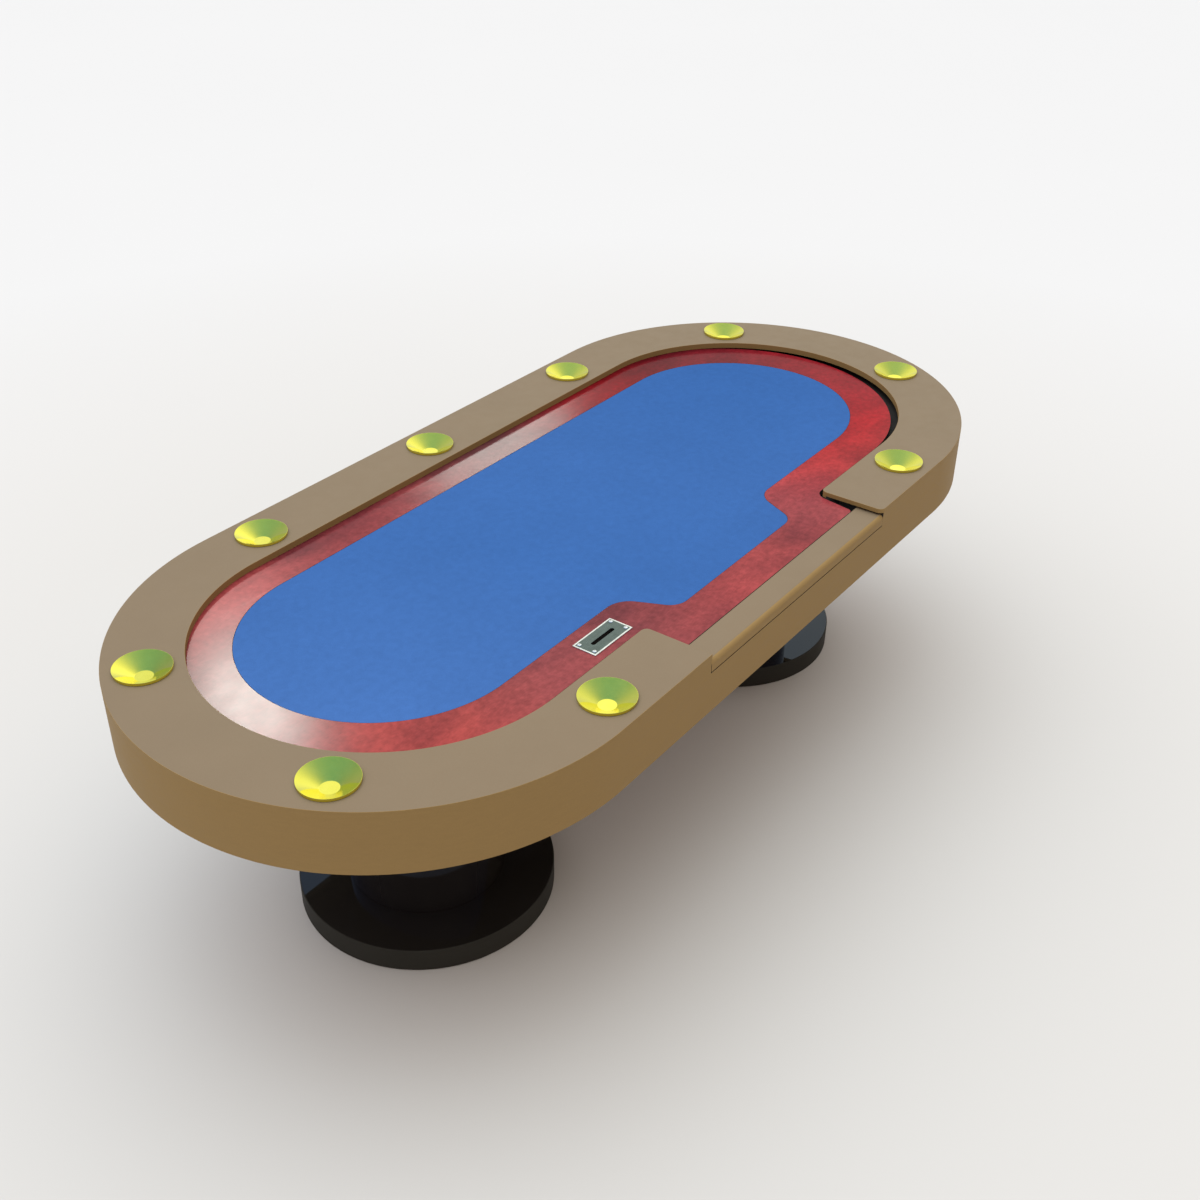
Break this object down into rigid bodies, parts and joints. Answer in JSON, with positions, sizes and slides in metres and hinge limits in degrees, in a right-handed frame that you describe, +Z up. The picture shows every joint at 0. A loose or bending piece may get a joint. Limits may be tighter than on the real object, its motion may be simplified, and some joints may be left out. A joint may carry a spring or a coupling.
{
  "type": "poker table",
  "caption": "Oval poker table with a flat rail, drop-in brass cup dishes, a felt playing surface in a lacquered racetrack, a dealer's cut-out with a drop slot, on drum pedestals.",
  "frame": {"origin": "on the floor, under the middle of the table", "axes": "+X along the table's length, to the dealer's right as the dealer faces the table; +Y from the dealer's side to the back; +Z up"},
  "size_m": [2.44, 1.118, 0.7125],
  "materials": {
    "rail_laminate": "satin tan laminate over board",
    "apron_laminate": "satin brown laminate over bent board",
    "racetrack_lacquer": "glossy red mahogany lacquer",
    "felt": "blue wool-blend gaming cloth",
    "foam": "thin closed-cell foam underlay",
    "plywood": "bare birch plywood",
    "dark_board": "board painted matt black",
    "brass": "polished yellow brass",
    "steel_plate": "brushed steel",
    "zinc_steel": "zinc-plated steel",
    "black_paint": "black powder coat",
    "black_lacquer": "high-gloss black lacquer over board",
    "rubber": "matt black rubber"
  },
  "bodies": {
    "table": {"rail_top": "rail_laminate", "rail_frame": "dark_board", "apron": "apron_laminate", "dealer_armrest": "rail_laminate", "armrest_cleat": "plywood", "racetrack": "racetrack_lacquer", "felt_cloth": "felt", "foam_underlay": "foam", "playing_board": "plywood", "deck_board": "dark_board", "slot_plate": "steel_plate", "slot_plate_screw_1": "steel_plate", "slot_plate_screw_2": "steel_plate", "slot_plate_screw_3": "steel_plate", "slot_plate_screw_4": "steel_plate", "drop_chute": "zinc_steel", "cash_box_runner_left": "zinc_steel", "cash_box_runner_right": "zinc_steel", "cross_beam_end_left": "plywood", "cross_beam_end_right": "plywood", "cross_beam_pedestal_left": "plywood", "cross_beam_pedestal_right": "plywood", "cross_beam_middle_left": "plywood", "cross_beam_middle_right": "plywood", "long_beam_front": "plywood", "long_beam_back": "plywood", "base_disc_left": "black_lacquer", "foot_ring_left": "rubber", "column_left": "black_lacquer", "column_cleat_left": "plywood", "top_plate_left": "black_paint", "plate_bolt_left_1": "zinc_steel", "plate_bolt_left_2": "zinc_steel", "plate_bolt_left_3": "zinc_steel", "plate_bolt_left_4": "zinc_steel", "base_disc_right": "black_lacquer", "foot_ring_right": "rubber", "column_right": "black_lacquer", "column_cleat_right": "plywood", "top_plate_right": "black_paint", "plate_bolt_right_1": "zinc_steel", "plate_bolt_right_2": "zinc_steel", "plate_bolt_right_3": "zinc_steel", "plate_bolt_right_4": "zinc_steel"},
    "cash_box": {"cash_box": "black_paint", "cash_box_hinge_pin": "zinc_steel"},
    "cash_box_door": {"cash_box_door": "black_paint", "cash_box_handle": "steel_plate"},
    "cash_box_lock": {"cash_box_lock": "steel_plate"},
    "cup_end_left_back": {"cup_holder_end_left_back": "brass"},
    "cup_end_left_front": {"cup_holder_end_left_front": "brass"},
    "cup_end_right_back": {"cup_holder_end_right_back": "brass"},
    "cup_end_right_front": {"cup_holder_end_right_front": "brass"},
    "cup_back_left": {"cup_holder_back_left": "brass"},
    "cup_back_middle": {"cup_holder_back_middle": "brass"},
    "cup_back_right": {"cup_holder_back_right": "brass"},
    "cup_dealer_left": {"cup_holder_dealer_left": "brass"},
    "cup_dealer_right": {"cup_holder_dealer_right": "brass"}
  },
  "joints": [
    {"name": "cup_end_left_back_lift", "type": "slide", "parent": "table", "child": "cup_end_left_back", "axis": [0, 0, 1], "range_m": [0, 0.1]},
    {"name": "cup_end_left_front_lift", "type": "slide", "parent": "table", "child": "cup_end_left_front", "axis": [0, 0, 1], "range_m": [0, 0.1]},
    {"name": "cup_end_right_back_lift", "type": "slide", "parent": "table", "child": "cup_end_right_back", "axis": [0, 0, 1], "range_m": [0, 0.1]},
    {"name": "cup_end_right_front_lift", "type": "slide", "parent": "table", "child": "cup_end_right_front", "axis": [0, 0, 1], "range_m": [0, 0.1]},
    {"name": "cup_back_left_lift", "type": "slide", "parent": "table", "child": "cup_back_left", "axis": [0, 0, 1], "range_m": [0, 0.1]},
    {"name": "cup_back_middle_lift", "type": "slide", "parent": "table", "child": "cup_back_middle", "axis": [0, 0, 1], "range_m": [0, 0.1]},
    {"name": "cup_back_right_lift", "type": "slide", "parent": "table", "child": "cup_back_right", "axis": [0, 0, 1], "range_m": [0, 0.1]},
    {"name": "cup_dealer_left_lift", "type": "slide", "parent": "table", "child": "cup_dealer_left", "axis": [0, 0, 1], "range_m": [0, 0.1]},
    {"name": "cup_dealer_right_lift", "type": "slide", "parent": "table", "child": "cup_dealer_right", "axis": [0, 0, 1], "range_m": [0, 0.1]},
    {"name": "cash_box_slide", "type": "slide", "parent": "table", "child": "cash_box", "axis": [0, -1, 0], "range_m": [0, 0.19]},
    {"name": "cash_box_door_hinge", "type": "hinge", "parent": "cash_box", "child": "cash_box_door", "pos_m": [-0.502, -0.43, 0.494], "axis": [0, 0, 1], "range_deg": [-110, 0]},
    {"name": "cash_box_lock_turn", "type": "hinge", "parent": "cash_box_door", "child": "cash_box_lock", "pos_m": [-0.372, -0.43, 0.494], "axis": [0, 1, 0], "range_deg": [-90, 0]}
  ]
}
